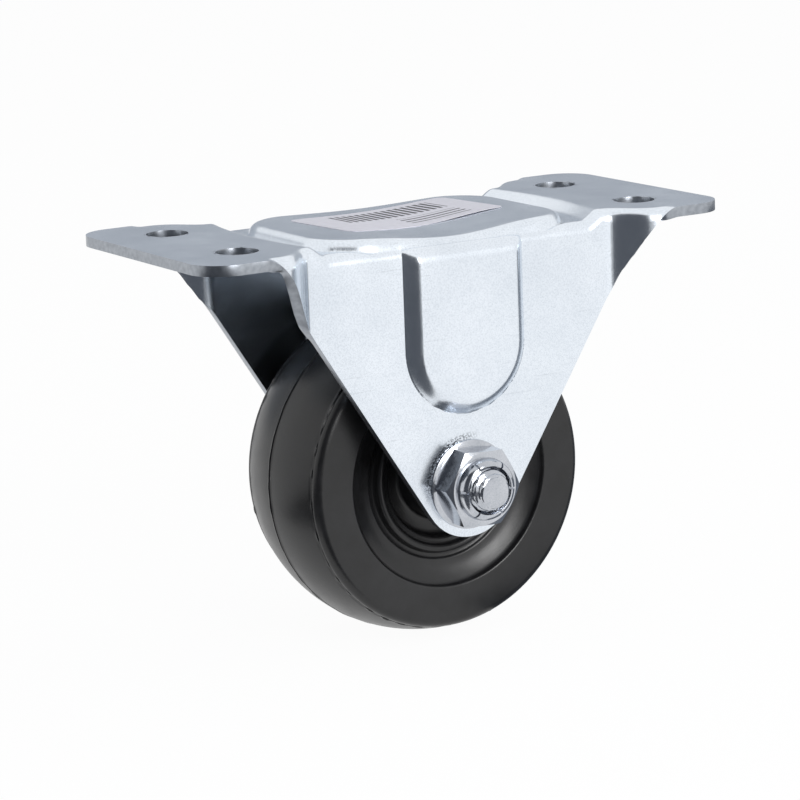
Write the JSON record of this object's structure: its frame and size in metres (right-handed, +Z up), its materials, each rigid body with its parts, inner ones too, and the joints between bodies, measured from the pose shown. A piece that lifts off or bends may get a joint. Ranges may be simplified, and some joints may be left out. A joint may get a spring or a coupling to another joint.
{
  "type": "rigid rubber caster",
  "caption": "Rigid caster: a hard rubber wheel turning on a sleeve and bolt in a pressed steel fork, which bolts up under furniture through the holes in its end tabs.",
  "frame": {"origin": "middle of the four bolt holes, on the mounting plane of the two end tabs", "axes": "+X along the plate, +Y along the axle towards the bolt's head, +Z up into the furniture, with the wheel hanging below"},
  "size_m": [0.1364, 0.0678, 0.0965],
  "materials": {
    "zinc_sheet": "bright zinc plate over pressed steel sheet, cloudy and lightly scratched",
    "black_rubber": "satin moulded hard rubber",
    "sleeve_steel": "plain drawn steel tube",
    "zinc_fastener": "bright zinc-plated fastener"
  },
  "bodies": {
    "fork": {"frame": "zinc_sheet", "axle_sleeve": "sleeve_steel", "axle_bolt": "zinc_fastener", "lock_nut": "zinc_fastener"},
    "wheel": {"wheel": "black_rubber"}
  },
  "joints": [
    {"name": "wheel_spin", "type": "hinge", "parent": "fork", "child": "wheel", "pos_m": [0, 0, -0.0584], "axis": [0, 1, 0], "continuous": true}
  ]
}
